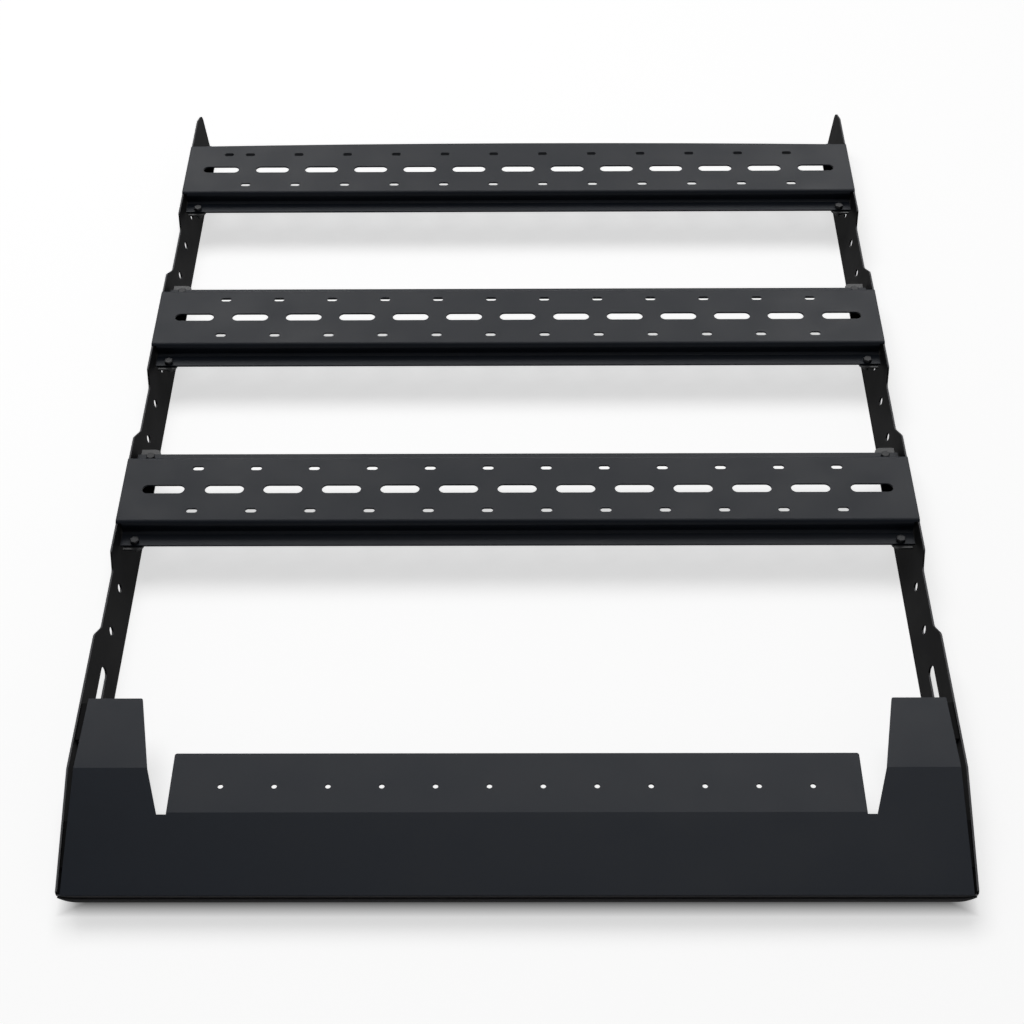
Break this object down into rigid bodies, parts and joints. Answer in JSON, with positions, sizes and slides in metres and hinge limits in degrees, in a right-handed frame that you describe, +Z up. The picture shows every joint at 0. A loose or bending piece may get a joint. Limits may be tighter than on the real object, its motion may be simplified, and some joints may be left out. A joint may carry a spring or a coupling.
{
  "type": "truck bed rack",
  "caption": "Open-frame truck rack with two leaning, scalloped side rails, wide slotted crossbars and a folded wind fairing across the front.",
  "frame": {"origin": "bottom centre of the whole rack, on the floor that the rails' lower edges rest on", "axes": "+X across the rack to the right as seen from the fairing, +Y along the rack from the fairing to the rear tips of the rails, +Z up"},
  "size_m": [1.372, 1.916, 0.1085],
  "materials": {
    "rail_coat": "satin",
    "bar_coat": "satin",
    "fairing_coat": "satin",
    "bracket_coat": "satin",
    "trim_rubber": "matt"
  },
  "bodies": {
    "root": {"side_rail_left": "rail_coat", "side_rail_right": "rail_coat", "crossbar_rear": "bar_coat", "crossbar_middle": "bar_coat", "crossbar_front": "bar_coat", "end_bracket_rear_left": "bracket_coat", "end_bracket_rear_right": "bracket_coat", "end_bracket_middle_left": "bracket_coat", "end_bracket_middle_right": "bracket_coat", "end_bracket_front_left": "bracket_coat", "end_bracket_front_right": "bracket_coat", "wind_fairing": "fairing_coat", "fairing_edge_trim": "trim_rubber", "fairing_bracket_rear_left": "bracket_coat", "fairing_bracket_rear_right": "bracket_coat", "fairing_bracket_front_left": "bracket_coat", "fairing_bracket_front_right": "bracket_coat"}
  },
  "joints": []
}
